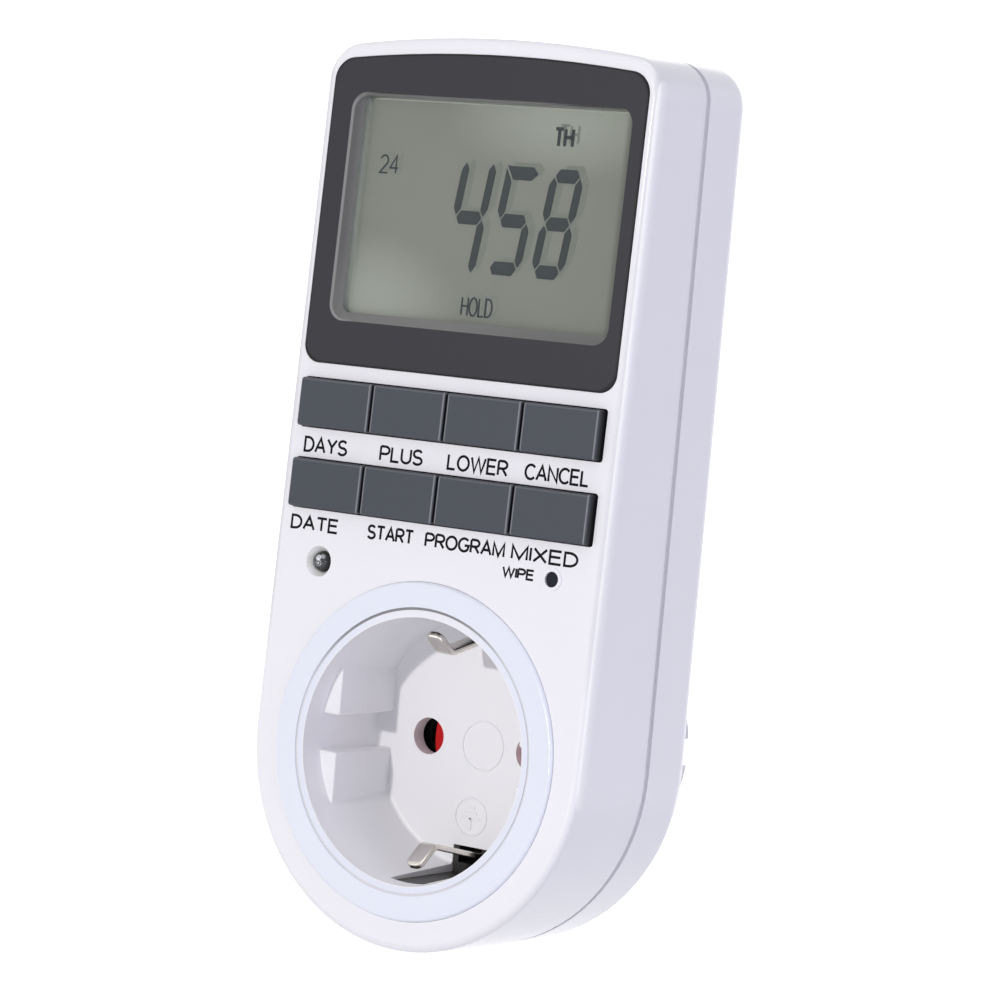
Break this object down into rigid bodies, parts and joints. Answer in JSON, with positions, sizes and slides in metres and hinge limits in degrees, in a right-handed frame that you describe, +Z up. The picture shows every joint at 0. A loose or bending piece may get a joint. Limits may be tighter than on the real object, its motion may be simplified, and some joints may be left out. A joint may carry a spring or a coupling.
{
  "type": "plug in timer switch",
  "caption": "Digital timer that plugs into an earthed two-pin wall socket, with a shuttered socket, display and sprung keys on its front.",
  "frame": {"origin": "middle of the plug's end face, midway between its two pins", "axes": "+Y into the wall socket along the pins, +Z up the housing, +X to the user's right"},
  "size_m": [0.06, 0.0681, 0.1355],
  "materials": {
    "housing_white": "smooth satin gloss",
    "insert_white": "smooth",
    "trim_pale_blue": "smooth satin",
    "bezel_grey": "smooth",
    "key_grey": "fine satin",
    "window_clear": "polished",
    "lcd_glass": "smooth",
    "shutter_red": "smooth",
    "nickel_strip": "bright nickel",
    "nickel_pin": "bright nickel",
    "brass_sheet": "stamped",
    "zinc_steel": "zinc plated",
    "cell_steel": "plated can",
    "mat_rubber": "silicone",
    "part_black": "moulded",
    "reset_dark": "smooth",
    "lamp_clear": "clear moulded",
    "board_green": "solder mask",
    "relay_blue": "moulded",
    "capacitor_yellow": "moulded",
    "resistor_tan": "lacquer"
  },
  "bodies": {
    "housing": {"front_shell": "housing_white", "rear_shell": "housing_white", "case_screws": "zinc_steel", "socket_well": "insert_white", "socket_trim_ring": "trim_pale_blue", "earth_clip_upper": "nickel_strip", "earth_clip_lower": "nickel_strip", "earth_link_ring": "brass_sheet", "plug_earth_strip_left": "nickel_strip", "plug_earth_strip_right": "nickel_strip", "shutter_spring": "zinc_steel", "contact_carrier": "part_black", "carrier_screws": "zinc_steel", "live_socket_contact": "brass_sheet", "neutral_socket_contact": "brass_sheet", "live_out_strap": "brass_sheet", "neutral_feed_strap": "brass_sheet", "live_in_strap": "brass_sheet", "neutral_link": "brass_sheet", "live_pin": "nickel_pin", "neutral_pin": "nickel_pin", "key_mat": "mat_rubber", "reset_switch": "part_black", "led_lamp": "lamp_clear", "display_bezel": "bezel_grey", "display_window": "window_clear", "lcd_panel": "lcd_glass", "lcd_holder": "insert_white", "lcd_connector": "mat_rubber", "display_board": "board_green", "display_board_screws": "zinc_steel", "controller_chip": "part_black", "backup_battery": "cell_steel", "clock_crystal": "cell_steel", "board_header": "part_black", "power_board": "board_green", "power_board_screws": "zinc_steel", "relay": "relay_blue", "dropper_capacitor": "capacitor_yellow", "filter_capacitor": "part_black", "rectifier_diodes": "part_black", "board_resistors": "resistor_tan", "varistor": "relay_blue"},
    "week_key": {"week_key": "key_grey"},
    "hour_key": {"hour_key": "key_grey"},
    "minute_key": {"minute_key": "key_grey"},
    "recall_key": {"recall_key": "key_grey"},
    "clock_key": {"clock_key": "key_grey"},
    "timer_key": {"timer_key": "key_grey"},
    "mode_key": {"mode_key": "key_grey"},
    "random_key": {"random_key": "key_grey"},
    "reset_button": {"reset_button": "reset_dark"},
    "shutter": {"safety_shutter": "shutter_red"}
  },
  "joints": [
    {"name": "week_key_press", "type": "slide", "parent": "housing", "child": "week_key", "axis": [0, 0.9989, -0.0468], "range_m": [0, 0.0008], "stiffness_N_per_m": 1500, "springref_m": -0.0002, "deforming": ["key_mat"]},
    {"name": "hour_key_press", "type": "slide", "parent": "housing", "child": "hour_key", "axis": [0, 0.9989, -0.0468], "range_m": [0, 0.0008], "stiffness_N_per_m": 1500, "springref_m": -0.0002, "deforming": ["key_mat"]},
    {"name": "minute_key_press", "type": "slide", "parent": "housing", "child": "minute_key", "axis": [0, 0.9989, -0.0468], "range_m": [0, 0.0008], "stiffness_N_per_m": 1500, "springref_m": -0.0002, "deforming": ["key_mat"]},
    {"name": "recall_key_press", "type": "slide", "parent": "housing", "child": "recall_key", "axis": [0, 0.9989, -0.0468], "range_m": [0, 0.0008], "stiffness_N_per_m": 1500, "springref_m": -0.0002, "deforming": ["key_mat"]},
    {"name": "clock_key_press", "type": "slide", "parent": "housing", "child": "clock_key", "axis": [0, 0.9989, -0.0468], "range_m": [0, 0.0008], "stiffness_N_per_m": 1500, "springref_m": -0.0002, "deforming": ["key_mat"]},
    {"name": "timer_key_press", "type": "slide", "parent": "housing", "child": "timer_key", "axis": [0, 0.9989, -0.0468], "range_m": [0, 0.0008], "stiffness_N_per_m": 1500, "springref_m": -0.0002, "deforming": ["key_mat"]},
    {"name": "mode_key_press", "type": "slide", "parent": "housing", "child": "mode_key", "axis": [0, 0.9989, -0.0468], "range_m": [0, 0.0008], "stiffness_N_per_m": 1500, "springref_m": -0.0002, "deforming": ["key_mat"]},
    {"name": "random_key_press", "type": "slide", "parent": "housing", "child": "random_key", "axis": [0, 0.9989, -0.0468], "range_m": [0, 0.0008], "stiffness_N_per_m": 1500, "springref_m": -0.0002, "deforming": ["key_mat"]},
    {"name": "reset_press", "type": "slide", "parent": "housing", "child": "reset_button", "axis": [0, 0.9989, -0.0468], "range_m": [0, 0.00045], "stiffness_N_per_m": 1500, "springref_m": -0.0002},
    {"name": "shutter_turn", "type": "hinge", "parent": "housing", "child": "shutter", "pos_m": [0, -0.0264, 0], "axis": [0, 1, 0], "range_deg": [0, 40], "stiffness_Nm_per_rad": 0.003, "springref_deg": -17.19, "deforming": ["shutter_spring"]}
  ]
}
